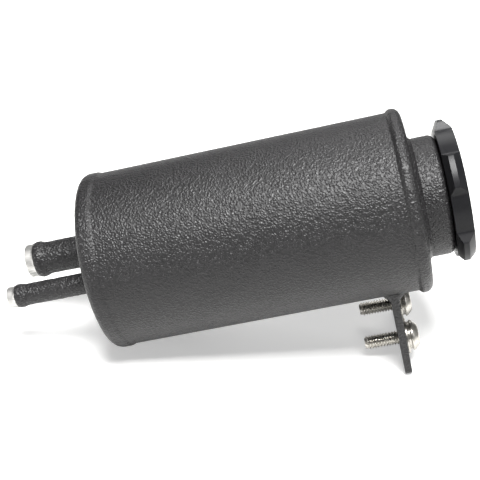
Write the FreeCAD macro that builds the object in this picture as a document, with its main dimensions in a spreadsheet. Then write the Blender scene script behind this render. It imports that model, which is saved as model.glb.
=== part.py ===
import FreeCAD
import Part
import Sketcher

import math
import os
import re

# A small round hydraulic reservoir, welded up from 3 in aluminium tube. It hangs from a flat
# bracket by two 1/4-20 screws, is filled through a threaded neck with a five-lobed screw cap,
# and feeds a pump through the larger of two beaded hose tubes in its bottom.
#
# Millimetres, +Z up. The origin is the middle of the two screws on the underside of the
# bracket. The tank's axis is vertical and stands behind it, at y = -tank_offset.

PARTS_FOLDER = "parts"

DIMENSIONS = [
    ("tank_offset", 61.1, "screw line to tank axis"),
    ("tank_radius", 38.1, "outside radius of the tank tube"),
    ("tank_wall", 2.1, "wall of the tank tube"),
    ("tank_floor", -120.0, "height of the outside of the bottom plate"),
    ("tank_roof", 18.3, "height of the outside of the top plate"),
    ("end_plate", 4.0, "thickness of both end plates"),
    ("plate_recess", 3.0, "how far the end plates stand out of the tube"),
    ("bottom_bulge", 0.7, "bottom seam weld proud of the tube"),
    ("bottom_spread", 6.4, "height of the bottom seam weld's cap"),
    ("bottom_round", 2.75, "rounding of the bottom seam weld"),
    ("top_bulge", 1.3, "top seam weld proud of the tube"),
    ("top_spread", 4.7, "height of the top seam weld's cap"),
    ("top_round", 3.3, "rounding of the top seam weld"),
    ("seam_toe", 1.3, "run-out of a seam weld on the tube"),
    ("neck_radius", 25.4, "outside radius of the filler neck"),
    ("neck_bore", 19.3, "bore radius of the filler neck"),
    ("neck_top", 30.1, "height of the sealing face of the neck"),
    ("neck_round", 2.6, "rounding of the neck's outer edge"),
    ("neck_lead", 0.6, "lead-in chamfer of the neck bore"),
    ("neck_fillet", 2.2, "leg of the weld round the neck"),
    ("bracket_width", 50.8, "width of the bracket"),
    ("bracket_thickness", 3.175, "thickness of the bracket"),
    ("bracket_reach", 12.4, "bracket edge beyond the screw line"),
    ("bracket_overlap", 28.0, "bracket blank's near edge from the tank axis"),
    ("bracket_corner", 3.0, "corner radius of the bracket"),
    ("bracket_fillet", 3.0, "leg of the welds along the bracket"),
    ("bracket_fillet_angle", 82.0, "angle of tank wall that the bracket welds cover"),
    ("stud_spacing", 25.4, "distance between the two screws"),
    ("stud_hole", 3.4, "radius of the bracket's screw holes"),
    ("screw_radius", 3.175, "radius of a 1/4 in screw"),
    ("grip_radius", 2.76, "pitch radius of the thread, for the screw within the bracket"),
    ("screw_end", -15.0, "height of the free end of the screws"),
    ("screw_chamfer", 0.6, "chamfer of the free end"),
    ("washer_radius", 7.9, "outside radius of the flat washer"),
    ("washer_hole", 3.5, "hole radius of the flat washer"),
    ("washer_thickness", 1.2, "thickness of either washer"),
    ("lock_radius", 6.1, "outside radius of the lock washer"),
    ("lock_hole", 3.3, "hole radius of the lock washer"),
    ("lock_split", 1.2, "gap in the lock washer"),
    ("head_radius", 6.8, "radius of the screw head"),
    ("head_height", 3.5, "height of the screw head"),
    ("head_round", 2.8, "rounding of the screw head"),
    ("key_size", 3.97, "across flats of the hexagon socket"),
    ("key_depth", 2.1, "depth of the hexagon socket"),
    ("feed_offset", 12.5, "tank axis to feed tube"),
    ("feed_radius", 7.33, "outside radius of the feed tube"),
    ("feed_bore", 6.0, "bore radius of the feed tube"),
    ("feed_end", -156.5, "height of the feed tube's tip"),
    ("feed_bead", 8.15, "radius of the feed tube's hose bead"),
    ("feed_bead_height", -150.9, "height of the middle of the feed bead"),
    ("feed_tip", 7.5, "radius of the feed tube beyond its bead"),
    ("return_offset", 15.0, "tank axis to return tube"),
    ("return_radius", 4.65, "outside radius of the return tube"),
    ("return_bore", 3.6, "bore radius of the return tube"),
    ("return_end", -160.2, "height of the return tube's tip"),
    ("return_bead", 5.1, "radius of the return tube's hose bead"),
    ("return_bead_height", -155.1, "height of the middle of the return bead"),
    ("return_tip", 4.6, "radius of the return tube beyond its bead"),
    ("standpipe_top", -85.0, "height of the return tube's open top in the tank"),
    ("bead_land", 1.6, "length of a bead's cylindrical land"),
    ("bead_back", 2.5, "length of a bead's slope on the tank side"),
    ("bead_front", 1.5, "length of a bead's slope on the hose side"),
    ("tube_fillet", 2.5, "leg of the welds round the hose tubes"),
    ("baffle_radius", 35.9, "radius of the baffle plate"),
    ("baffle_height", -88.0, "height of the baffle plate's underside"),
    ("baffle_thickness", 1.6, "thickness of the baffle plate"),
    ("baffle_hole", 4.0, "radius of a flow hole"),
    ("baffle_circle", 24.0, "radius of the circle of flow holes"),
    ("standpipe_clearance", 5.1, "radius of the baffle's hole for the return tube"),
    ("tack_leg", 2.4, "leg of the baffle's tack welds"),
    ("tack_angle", 12.0, "angle of tank wall that one tack covers"),
    ("cap_clocking", -9.9, "turn of the closed cap"),
    ("cap_face", 30.3, "height of the cap's sealing face"),
    ("cap_shoulder", 26.8, "radius where the cap's conical underside starts"),
    ("cap_radius", 30.7, "radius over the cap's lobes"),
    ("lobe_bottom", 32.4, "height of the lower edge of a lobe"),
    ("lobe_top", 34.6, "height of the upper edge of a lobe"),
    ("cap_top", 37.7, "height of the top of the cap"),
    ("cap_crown", 27.4, "radius of the flat top of the cap"),
    ("cutout_floor", 27.1, "radius of the floor of a cutout"),
    ("cutout_floor_angle", 17.2, "half angle of the floor of a cutout"),
    ("cutout_mouth_angle", 23.0, "half angle of the mouth of a cutout"),
    ("cutout_reach", 34.0, "radius that the cutting tool runs out to"),
    ("plug_radius", 18.95, "radius of the cap's threaded plug"),
    ("plug_end", 19.6, "height of the lower end of the plug"),
    ("plug_chamfer", 0.8, "chamfer of the plug's lower edge"),
    ("plug_bore", 15.0, "bore radius of the hollow plug"),
    ("plug_roof", 33.0, "height of the roof of the plug's bore"),
    ("groove_inner", 19.45, "inner radius of the seal groove"),
    ("groove_outer", 22.3, "outer radius of the seal groove"),
    ("groove_depth", 2.0, "depth of the seal groove"),
    ("seal_radius", 20.9, "radius of the seal's centre line"),
    ("seal_section", 1.08, "radius of the seal's section"),
    ("vent_hole", 1.0, "radius of the vent hole"),
    ("vent_radius", 3.0, "radius of the vent disc"),
    ("vent_depth", 2.2, "depth of the vent disc's seat"),
    ("vent_thickness", 1.9, "thickness of the vent disc"),
]

TANK_SIDE = "-tank_offset"
CUTOUTS = 5
FLOW_HOLES = 8
TACKS = 3

names = {name for name, _, _ in DIMENSIONS}
doc = FreeCAD.newDocument("hydraulic_reservoir")
sheet = doc.addObject("Spreadsheet::Sheet", "sizes")
for row, (name, value, meaning) in enumerate(DIMENSIONS, start=1):
    sheet.set(f"A{row}", meaning)
    sheet.set(f"B{row}", str(value))
    sheet.setAlias(f"B{row}", name)
doc.recompute()

sub_parts = []


def formula(text):
    """Point the dimension names in a formula at the sheet."""

    def point(word):
        """Put the sheet's name before a dimension and leave other words alone."""
        return "sizes." + word.group() if word.group() in names else word.group()

    return re.sub(r"[a-z_]+", point, str(text))


def number(text):
    """Work a formula out as a plain number."""
    return float(sheet.evalExpression(formula(text)))


def bind(thing, **formulas):
    """Bind properties to formulas; a double underscore stands for a dot."""
    for prop, text in formulas.items():
        thing.setExpression(prop.replace("__", "."), formula(text))


def place(thing, across="0", back=TANK_SIDE, up="0", turn=None):
    """Bind the position of a sub-part, and its turn about +Z if it has one."""
    bind(thing, Placement__Base__x=across, Placement__Base__y=back, Placement__Base__z=up)
    if turn:
        thing.Placement.Rotation = FreeCAD.Rotation(FreeCAD.Vector(0, 0, 1), 1)
        bind(thing, Placement__Rotation__Angle=turn)


def new_part(kind, label):
    """Add a sub-part that is exported under its label."""
    part = doc.addObject(kind, label)
    part.Label = label
    sub_parts.append(part)
    return part


def new_sketch(body, name, role, across="0", up="0"):
    """Add a sketch on an origin plane, shifted within or off that plane."""
    sketch = body.newObject("Sketcher::SketchObject", name)
    plane = next(f for f in body.Origin.OriginFeatures if f.Role == role)
    sketch.AttachmentSupport = [(plane, "")]
    sketch.MapMode = "FlatFace"
    if role == "XY_Plane":
        bind(sketch, AttachmentOffset__Base__z=up)
    bind(sketch, AttachmentOffset__Base__x=across)
    return sketch


def hold(sketch, side, end, across=None, up=None):
    """Hold one point of a side at bound distances from the sketch's origin."""
    for kind, text in (("DistanceX", across), ("DistanceY", up)):
        if text is not None:
            row = sketch.addConstraint(Sketcher.Constraint(kind, -1, 1, side, end, number(text)))
            sketch.setExpression(f"Constraints[{row}]", formula(text))


def draw_outline(sketch, corners, arc_sides=()):
    """Draw a closed outline; the sides in arc_sides bend round the sketch's origin."""
    points = [FreeCAD.Vector(number(x), number(y), 0) for x, y in corners]
    count = len(points)
    for i, start in enumerate(points):
        end = points[(i + 1) % count]
        if i in arc_sides:
            ring = Part.Circle(FreeCAD.Vector(), FreeCAD.Vector(0, 0, 1), start.Length)
            angles = [math.atan2(p.y, p.x) for p in (start, end)]
            side = sketch.addGeometry(Part.ArcOfCircle(ring, *angles))
            sketch.addConstraint(Sketcher.Constraint("Coincident", side, 3, -1, 1))
        else:
            side = sketch.addGeometry(Part.LineSegment(start, end))
    for i, (across, up) in enumerate(corners):
        after_arc = i - 1 in arc_sides
        sketch.addConstraint(Sketcher.Constraint("Coincident", (i - 1) % count, 2, i, 1))
        hold(sketch, i, 1, None if after_arc else across, up)


def draw_circle(sketch, across, up, radius):
    """Draw a circle with a bound centre and radius."""
    centre = FreeCAD.Vector(number(across), number(up), 0)
    side = sketch.addGeometry(Part.Circle(centre, FreeCAD.Vector(0, 0, 1), number(radius)))
    hold(sketch, side, 3, across, up)
    row = sketch.addConstraint(Sketcher.Constraint("Radius", side, number(radius)))
    sketch.setExpression(f"Constraints[{row}]", formula(radius))


def turned(label, corners, role="XZ_Plane", angle="360", across="0", **placing):
    """Make a body by turning an outline of (radius, height) corners about a vertical axis."""
    body = new_part("PartDesign::Body", label)
    sketch = new_sketch(body, label + "_outline", role, across)
    draw_outline(sketch, corners)
    turn = body.newObject("PartDesign::Revolution", label + "_turn")
    turn.Profile = sketch
    turn.ReferenceAxis = (sketch, ["V_Axis"])
    turn.Midplane = angle != "360"
    bind(turn, Angle=angle)
    place(body, **placing)
    doc.recompute()
    return body


def plate(label, thickness, up, draw, **placing):
    """Make a body by padding what draw puts in its sketch."""
    body = new_part("PartDesign::Body", label)
    sketch = new_sketch(body, label + "_outline", "XY_Plane", up=up)
    draw(sketch)
    pad = body.newObject("PartDesign::Pad", label + "_pad")
    pad.Profile = sketch
    bind(pad, Length=thickness)
    place(body, **placing)
    doc.recompute()
    return body


def cut(body, name, depth, up, draw, symmetric=False):
    """Pocket a body down from a height, and make sure that this removes material."""
    before = body.Shape.Volume
    sketch = new_sketch(body, name + "_outline", "XY_Plane", up=up)
    draw(sketch)
    pocket = body.newObject("PartDesign::Pocket", name)
    pocket.Profile = sketch
    bind(pocket, Length=depth)
    if symmetric:
        pocket.SideType = "Symmetric"
    doc.recompute()
    assert body.Shape.Volume < before - 0.01, name
    return pocket


def dress(body, kind, name, size, radius, height):
    """Fillet or chamfer the round edges of a given radius at a given height."""
    base = body.Tip
    edges = [
        f"Edge{i}"
        for i, edge in enumerate(base.Shape.Edges, start=1)
        if hasattr(edge.Curve, "Radius")
        and abs(edge.Curve.Radius - number(radius)) < 0.01
        and abs(edge.CenterOfMass.z - number(height)) < 0.01
    ]
    assert edges, name
    feature = body.newObject("PartDesign::" + kind, name)
    feature.Base = (base, edges)
    prop = "Radius" if kind == "Fillet" else "Size"
    bind(feature, **{prop: size})
    body.Tip = feature
    doc.recompute()


def repeat(body, name, count, originals=None):
    """Repeat the whole body, or some of its features, round the body's axis."""
    pattern = body.newObject("PartDesign::PolarPattern", name)
    if originals:
        pattern.Originals = originals
    else:
        pattern.TransformMode = "Whole shape"
    axis = next(f for f in body.Origin.OriginFeatures if f.Role == "Z_Axis")
    pattern.Axis = (axis, [""])
    pattern.Angle = 360
    pattern.Occurrences = count
    body.Tip = pattern
    doc.recompute()


def mirror(body, name):
    """Mirror the whole body to the other side of the bracket's middle."""
    copy = body.newObject("PartDesign::Mirrored", name)
    copy.TransformMode = "Whole shape"
    middle = next(f for f in body.Origin.OriginFeatures if f.Role == "YZ_Plane")
    copy.MirrorPlane = (middle, [""])
    body.Tip = copy
    doc.recompute()


def ring(inner, outer, low, high):
    """The outline of a ring with a rectangular section."""
    return [(inner, low), (outer, low), (outer, high), (inner, high)]


# The tank: a tube, two end plates let into its ends, and the welds that join them.

INNER = "tank_radius - tank_wall"
TUBE_LOW = "tank_floor + plate_recess"
TUBE_HIGH = "tank_roof - plate_recess"

turned("tank_tube", ring(INNER, "tank_radius", TUBE_LOW, TUBE_HIGH))
turned("top_plate", ring("neck_radius", INNER, "tank_roof - end_plate", "tank_roof"))


def draw_bottom(sketch):
    draw_circle(sketch, "0", "0", INNER)
    draw_circle(sketch, "-feed_offset", "0", "feed_radius")
    draw_circle(sketch, "return_offset", "0", "return_radius")


plate("bottom_plate", "end_plate", "tank_floor", draw_bottom)

bottom_seam = turned(
    "bottom_seam_weld",
    [
        (INNER, "tank_floor"),
        ("tank_radius + bottom_bulge", "tank_floor"),
        ("tank_radius + bottom_bulge", "tank_floor + bottom_spread"),
        ("tank_radius", "tank_floor + bottom_spread + seam_toe"),
        ("tank_radius", TUBE_LOW),
        (INNER, TUBE_LOW),
    ],
)
dress(bottom_seam, "Fillet", "bottom_corner", "bottom_round", "tank_radius + bottom_bulge", "tank_floor")

top_seam = turned(
    "top_seam_weld",
    [
        (INNER, "tank_roof"),
        ("tank_radius + top_bulge", "tank_roof"),
        ("tank_radius + top_bulge", "tank_roof - top_spread"),
        ("tank_radius", "tank_roof - top_spread - seam_toe"),
        ("tank_radius", TUBE_HIGH),
        (INNER, TUBE_HIGH),
    ],
)
dress(top_seam, "Fillet", "top_corner", "top_round", "tank_radius + top_bulge", "tank_roof")

# The filler neck stands in the top plate and is welded round its foot.

neck = turned("filler_neck", ring("neck_bore", "neck_radius", "tank_roof - end_plate", "neck_top"))
dress(neck, "Fillet", "neck_edge", "neck_round", "neck_radius", "neck_top")
dress(neck, "Chamfer", "neck_lead_in", "neck_lead", "neck_bore", "neck_top")

turned(
    "neck_weld",
    [
        ("neck_radius", "tank_roof"),
        ("neck_radius + neck_fillet", "tank_roof"),
        ("neck_radius", "tank_roof + neck_fillet"),
    ],
)

# The bracket: a flat plate cut to the curve of the tank, welded to it above and below.


def draw_bracket(sketch):
    near = "bracket_overlap - tank_offset"
    half = "bracket_width / 2"
    draw_outline(
        sketch,
        [
            ("-" + half, near),
            (half, near),
            (half, "bracket_reach"),
            ("-" + half, "bracket_reach"),
        ],
    )
    draw_circle(sketch, "-stud_spacing / 2", "0", "stud_hole")
    draw_circle(sketch, "stud_spacing / 2", "0", "stud_hole")


bracket = plate("mounting_bracket", "bracket_thickness", "0", draw_bracket, back="0")
cut(
    bracket,
    "tank_curve",
    "4 * bracket_thickness",
    "bracket_thickness / 2",
    lambda sketch: draw_circle(sketch, "0", TANK_SIDE, "tank_radius"),
    symmetric=True,
)
blank = bracket.Tip
corners = [
    f"Edge{i}"
    for i, edge in enumerate(blank.Shape.Edges, start=1)
    if abs(edge.BoundBox.YMin - number("bracket_reach")) < 0.01 and edge.BoundBox.ZLength > 1
]
rounding = bracket.newObject("PartDesign::Fillet", "bracket_corners")
rounding.Base = (blank, corners)
bind(rounding, Radius="bracket_corner")
bracket.Tip = rounding
doc.recompute()

bracket_welds = turned(
    "bracket_welds",
    [
        ("tank_radius", "bracket_thickness"),
        ("tank_radius + bracket_fillet", "bracket_thickness"),
        ("tank_radius", "bracket_thickness + bracket_fillet"),
    ],
    role="YZ_Plane",
    angle="bracket_fillet_angle",
)
lower_outline = new_sketch(bracket_welds, "lower_weld_outline", "YZ_Plane")
draw_outline(
    lower_outline,
    [("tank_radius", "-bracket_fillet"), ("tank_radius + bracket_fillet", "0"), ("tank_radius", "0")],
)
lower_weld = bracket_welds.newObject("PartDesign::Revolution", "lower_weld_turn")
lower_weld.Profile = lower_outline
lower_weld.ReferenceAxis = (lower_outline, ["V_Axis"])
lower_weld.Midplane = True
bind(lower_weld, Angle="bracket_fillet_angle")
doc.recompute()

# The two screws, each with a flat washer and a split lock washer under its head.

STUD = "stud_spacing / 2"
WASHER_TOP = "bracket_thickness + washer_thickness"
HEAD_LOW = "bracket_thickness + 2 * washer_thickness"
HEAD_HIGH = HEAD_LOW + " + head_height"

screws = turned(
    "bracket_screws",
    [
        ("0", "screw_end"),
        ("screw_radius - screw_chamfer", "screw_end"),
        ("screw_radius", "screw_end + screw_chamfer"),
        ("screw_radius", "0"),
        ("grip_radius", "0"),
        ("grip_radius", HEAD_LOW),
        ("head_radius", HEAD_LOW),
        ("head_radius", HEAD_HIGH),
        ("0", HEAD_HIGH),
    ],
    across=STUD,
    back="0",
)
dress(screws, "Fillet", "head_dome", "head_round", "head_radius", HEAD_HIGH)


def draw_key(sketch):
    corner = "key_size / sqrt(3)"
    flat = "key_size / 2"
    half = "key_size / (2 * sqrt(3))"
    draw_outline(
        sketch,
        [
            (STUD, corner),
            (f"{STUD} - {flat}", half),
            (f"{STUD} - {flat}", "-" + half),
            (STUD, "-" + corner),
            (f"{STUD} + {flat}", "-" + half),
            (f"{STUD} + {flat}", half),
        ],
    )


cut(screws, "head_socket", "key_depth", HEAD_HIGH, draw_key)
mirror(screws, "second_screw")

washers = turned(
    "bracket_washers",
    ring("washer_hole", "washer_radius", "bracket_thickness", WASHER_TOP),
    across=STUD,
    back="0",
)
mirror(washers, "second_washer")

lock_washers = turned(
    "bracket_lock_washers",
    ring("lock_hole", "lock_radius", WASHER_TOP, HEAD_LOW),
    across=STUD,
    back="0",
)


def draw_split(sketch):
    draw_outline(
        sketch,
        [
            (STUD + " - lock_split / 2", "lock_hole - 1"),
            (STUD + " + lock_split / 2", "lock_hole - 1"),
            (STUD + " + lock_split / 2", "lock_radius + 1"),
            (STUD + " - lock_split / 2", "lock_radius + 1"),
        ],
    )


cut(lock_washers, "washer_split", "washer_thickness", HEAD_LOW, draw_split)
mirror(lock_washers, "second_lock_washer")

# The hose tubes: each passes through the bottom plate and has a rolled bead near its tip.


def hose_tube(label, top, offset, size):
    """Turn one hose tube; size is the first word of the names of its dimensions."""
    bead = f"{size}_bead_height"
    tube = turned(
        label,
        [
            (f"{size}_bore", f"{size}_end"),
            (f"{size}_tip", f"{size}_end"),
            (f"{size}_tip", f"{bead} - bead_land / 2 - bead_front"),
            (f"{size}_bead", f"{bead} - bead_land / 2"),
            (f"{size}_bead", f"{bead} + bead_land / 2"),
            (f"{size}_radius", f"{bead} + bead_land / 2 + bead_back"),
            (f"{size}_radius", top),
            (f"{size}_bore", top),
        ],
        across="0",
        back=TANK_SIDE,
    )
    place(tube, across=offset)
    weld = turned(
        label + "_weld",
        [
            (f"{size}_radius", "tank_floor - tube_fillet"),
            (f"{size}_radius + tube_fillet", "tank_floor"),
            (f"{size}_radius", "tank_floor"),
        ],
    )
    place(weld, across=offset)


hose_tube("feed_tube", "tank_floor + end_plate", "-feed_offset", "feed")
hose_tube("return_tube", "standpipe_top", "return_offset", "return")

# Inside the tank a drilled baffle lies over the feed tube, held by tack welds.


def draw_baffle(sketch):
    draw_circle(sketch, "0", "0", "baffle_radius")
    draw_circle(sketch, "return_offset", "0", "standpipe_clearance")


BAFFLE_TOP = "baffle_height + baffle_thickness"
HOLE_TURN = f"{180 / FLOW_HOLES}"

baffle = plate("baffle_plate", "baffle_thickness", "baffle_height", draw_baffle)
flow_hole = cut(
    baffle,
    "flow_hole",
    "2 * baffle_thickness",
    BAFFLE_TOP,
    lambda sketch: draw_circle(
        sketch,
        f"baffle_circle * cos({HOLE_TURN})",
        f"baffle_circle * sin({HOLE_TURN})",
        "baffle_hole",
    ),
)
repeat(baffle, "flow_holes", FLOW_HOLES, [flow_hole])

tacks = turned(
    "baffle_tacks",
    [(f"{INNER} - tack_leg", BAFFLE_TOP), (INNER, BAFFLE_TOP), (INNER, BAFFLE_TOP + " + tack_leg")],
    role="YZ_Plane",
    angle="tack_angle",
)
repeat(tacks, "tacks", TACKS)

# The filler cap: a turned disc with five cutouts that leave five lobes to grip, a conical
# underside, a seal groove and a hollow threaded plug. A porous disc vents it.

cap = turned(
    "cap_body",
    [
        ("vent_hole", "plug_roof"),
        ("plug_bore", "plug_roof"),
        ("plug_bore", "plug_end"),
        ("plug_radius - plug_chamfer", "plug_end"),
        ("plug_radius", "plug_end + plug_chamfer"),
        ("plug_radius", "cap_face"),
        ("groove_inner", "cap_face"),
        ("groove_inner", "cap_face + groove_depth"),
        ("groove_outer", "cap_face + groove_depth"),
        ("groove_outer", "cap_face"),
        ("cap_shoulder", "cap_face"),
        ("cap_radius", "lobe_bottom"),
        ("cap_radius", "lobe_top"),
        ("cap_crown", "cap_top"),
        ("vent_radius", "cap_top"),
        ("vent_radius", "cap_top - vent_depth"),
        ("vent_hole", "cap_top - vent_depth"),
    ],
    turn="cap_clocking",
)


def draw_cutout(sketch):
    floor_x = "cutout_floor * cos(cutout_floor_angle)"
    floor_y = "cutout_floor * sin(cutout_floor_angle)"
    mouth_x = "cap_radius * cos(cutout_mouth_angle)"
    mouth_y = "cap_radius * sin(cutout_mouth_angle)"
    draw_outline(
        sketch,
        [
            (floor_x, "-" + floor_y),
            (floor_x, floor_y),
            (mouth_x, mouth_y),
            ("cutout_reach", mouth_y),
            ("cutout_reach", "-" + mouth_y),
            (mouth_x, "-" + mouth_y),
        ],
        arc_sides=(0,),
    )


cutout = cut(cap, "cutout", "cap_top - cap_face", "cap_top", draw_cutout)
repeat(cap, "cutouts", CUTOUTS, [cutout])

vent = new_part("Part::Cylinder", "cap_vent")
bind(vent, Radius="vent_radius", Height="vent_thickness")
place(vent, up="cap_top - vent_depth")

seal = new_part("Part::Torus", "cap_seal")
bind(seal, Radius1="seal_radius", Radius2="seal_section")
place(seal, up="cap_face + groove_depth - seal_section - 0.02")

# Check every object, then write each sub-part to a file of its own.

doc.recompute()
for thing in doc.Objects:
    assert "Invalid" not in thing.State and "Error" not in thing.State, (thing.Name, thing.State)

os.makedirs(PARTS_FOLDER, exist_ok=True)
for part in sub_parts:
    shape = part.Shape
    assert not shape.isNull() and shape.isValid() and shape.Solids, part.Label
    shape.exportStep(os.path.join(PARTS_FOLDER, part.Label + ".step"))
    box = shape.BoundBox
    print(
        f"{part.Label:22} {len(shape.Solids)} solid(s) {shape.Volume:10.1f} mm3"
        f"  x {box.XMin:7.2f} {box.XMax:7.2f}  y {box.YMin:7.2f} {box.YMax:7.2f}"
        f"  z {box.ZMin:7.2f} {box.ZMax:7.2f}"
    )
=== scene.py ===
"""Looks of a small welded hydraulic reservoir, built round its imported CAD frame.

Lengths in the classes are millimetres in the CAD frame, +Z up along the tank towards its cap.
The origin is the middle of the two bracket screws, on the underside of the bracket.
"""

from __future__ import annotations

import logging
import sys
from dataclasses import dataclass, field
from enum import Enum
from functools import cache
from math import cos, pi, radians, sin
from typing import Callable

import bmesh
import bpy
import numpy as np
from mathutils import Matrix, Vector

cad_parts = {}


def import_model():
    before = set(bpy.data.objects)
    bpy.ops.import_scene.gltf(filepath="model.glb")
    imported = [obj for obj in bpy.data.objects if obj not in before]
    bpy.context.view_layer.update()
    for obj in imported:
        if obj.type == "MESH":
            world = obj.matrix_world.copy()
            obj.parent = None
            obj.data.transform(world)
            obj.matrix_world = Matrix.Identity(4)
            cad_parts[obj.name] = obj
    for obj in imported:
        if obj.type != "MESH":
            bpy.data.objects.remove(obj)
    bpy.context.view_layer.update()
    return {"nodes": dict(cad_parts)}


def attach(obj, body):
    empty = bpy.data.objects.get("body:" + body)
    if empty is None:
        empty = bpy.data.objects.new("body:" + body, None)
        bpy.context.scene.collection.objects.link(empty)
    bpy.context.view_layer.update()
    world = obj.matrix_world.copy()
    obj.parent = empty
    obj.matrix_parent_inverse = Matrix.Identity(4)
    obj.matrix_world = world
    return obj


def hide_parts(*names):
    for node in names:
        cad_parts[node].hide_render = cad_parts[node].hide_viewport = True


MM = 0.001
TANK_Y = -61.1
TANK_AXIS = (0.0, TANK_Y)
SAME_POINT = 1e-4

log = logging.getLogger("reservoir")

Pair = tuple[float, float]
Triple = tuple[float, float, float]
Colour = tuple[float, float, float, float]
Outline = np.ndarray
Grid = np.ndarray
Swell = Callable[[np.ndarray, np.ndarray], np.ndarray]


class Body(Enum):
    """The rigid bodies that pieces ride on."""

    TANK = "tank"
    SEAL = "seal"
    CAP = "cap"


# ---- surfaces


def unit(vectors: np.ndarray) -> np.ndarray:
    """Scale vectors to length one; a zero vector stays zero."""
    return vectors / np.maximum(np.linalg.norm(vectors, axis=-1, keepdims=True), 1e-12)


def rounded(corners: list[Pair], radii: list[float], steps: int = 7) -> Outline:
    """Round the corners of a closed outline.

    Each corner is replaced by the arc that touches both of its sides: its centre lies on the
    corner's bisector, and its points turn evenly from one touching point to the other.

    Args:
        corners: the outline's corners, as (radius, height).
        radii: the rounding of each corner, 0 for a sharp one.
        steps: points on each arc.

    Returns:
        The points of the outline, one row each, without repeats.
    """
    point = np.array(corners, float)
    radius = np.array(radii, float)[:, None]
    back = unit(np.roll(point, 1, 0) - point)
    ahead = unit(np.roll(point, -1, 0) - point)
    half = 0.5 * np.arccos(np.clip((back * ahead).sum(1, keepdims=True), -1, 1))
    centre = point + unit(back + ahead) * radius / np.sin(half)
    first = point + back * radius / np.tan(half) - centre
    last = point + ahead * radius / np.tan(half) - centre
    turn = np.maximum(pi - 2 * half, 1e-9)[:, None]
    share = np.linspace(0, 1, steps)[None, :, None]
    spread = np.sin((1 - share) * turn) * first[:, None] + np.sin(share * turn) * last[:, None]
    path = (centre[:, None] + spread / np.sin(turn)).reshape(-1, 2)
    return path[np.linalg.norm(path - np.roll(path, 1, 0), axis=1) > SAME_POINT]


def refined(outline: Outline, longest: float) -> Outline:
    """Divide a closed outline's sides so that none is longer than a limit.

    Points are placed evenly along the outline's length, and its own points are kept. A point
    that would crowd the one before it is left out.

    Args:
        outline: the points of the outline.
        longest: the greatest distance between neighbours.

    Returns:
        The points of the divided outline.
    """
    closed = np.vstack([outline, outline[:1]])
    along = np.concatenate([[0], np.cumsum(np.linalg.norm(np.diff(closed, axis=0), axis=1))])
    even = np.linspace(0, along[-1], int(along[-1] / longest) + 2)
    where = np.unique(np.round(np.concatenate([along, even]), 4))[:-1]
    crowded = longest * 0.15
    keep = np.concatenate([[True], np.diff(where) > crowded])
    where = where[keep]
    return np.stack([np.interp(where, along, closed[:, k]) for k in (0, 1)], 1)


def turned(
    outline: Outline,
    centre: Pair = TANK_AXIS,
    steps: int = 128,
    span: Pair | None = None,
    swell: Swell | None = None,
) -> Grid:
    """Turn an outline of (radius, height) points about a vertical axis.

    A point of the surface is centre + radius * (cos angle, sin angle) at its height. Swell adds
    to the radius. An outline that runs anticlockwise gives faces that point outwards.

    Args:
        outline: the section.
        centre: where the axis stands.
        steps: columns round the axis.
        span: first and last angle in degrees, or None for a full turn.
        swell: radius to add, from (angle, height) arrays.

    Returns:
        The grid of points, as (columns, rows, 3).
    """
    if span is None:
        angle = np.arange(steps) * 2 * pi / steps
    else:
        angle = np.radians(np.linspace(*span, steps))
    angle = angle[:, None]
    radius = outline[None, :, 0] + 0 * angle
    height = outline[None, :, 1] + 0 * angle
    if swell:
        radius = radius + swell(angle, height)
    return polar_grid(angle, radius, height, centre)


def polar_grid(
    angle: np.ndarray, radius: np.ndarray, height: np.ndarray, centre: Pair = TANK_AXIS
) -> Grid:
    """Place points by angle, radius and height about a vertical axis.

    Args:
        angle: the angle of each column, in radians.
        radius: the distance of each point from the axis.
        height: the height of each point.
        centre: where the axis stands.

    Returns:
        The grid of points, as (columns, rows, 3).
    """
    across = centre[0] + radius * np.cos(angle)
    back = centre[1] + radius * np.sin(angle)
    return np.stack([across, back, height + 0 * angle], -1)


def waves(points: np.ndarray, size: float, seed: int, count: int = 28) -> np.ndarray:
    """Smooth random lumps: the mean of many plane waves in random directions.

    Args:
        points: where to work it out, in millimetres.
        size: the typical length of a lump.
        seed: picks the pattern.
        count: the number of waves.

    Returns:
        A height for each point, about -1 to 1.
    """
    dice = np.random.default_rng(seed)
    direction = unit(dice.normal(size=(count, 3)))
    across = direction * dice.uniform(0.6, 1.5, (count, 1)) * 2 * pi / size
    phase = dice.uniform(0, 2 * pi, count)
    return np.sin(points @ across.T + phase).sum(-1) * 1.6 / np.sqrt(count)


def roughened(grid: Grid, size: float, height: float, seed: int, above: float = -1000.0) -> Grid:
    """Push a closed-round grid in and out along its own normals by random lumps.

    The normal is the cross product of the steps to the next column and the next row. The lumps
    fade in over the first millimetre above a level.

    Args:
        grid: the surface, closed in both directions.
        size: the length of a lump.
        height: how far lumps stand out.
        seed: picks the pattern.
        above: the level below which the surface stays smooth.

    Returns:
        The roughened grid.
    """
    round_step = np.roll(grid, -1, 0) - np.roll(grid, 1, 0)
    along_step = np.roll(grid, -1, 1) - np.roll(grid, 1, 1)
    normal = unit(np.cross(round_step, along_step))
    fade = np.clip(grid[..., 2] - above, 0, 1)
    return grid + normal * (height * fade * waves(grid, size, seed))[..., None]


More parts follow.
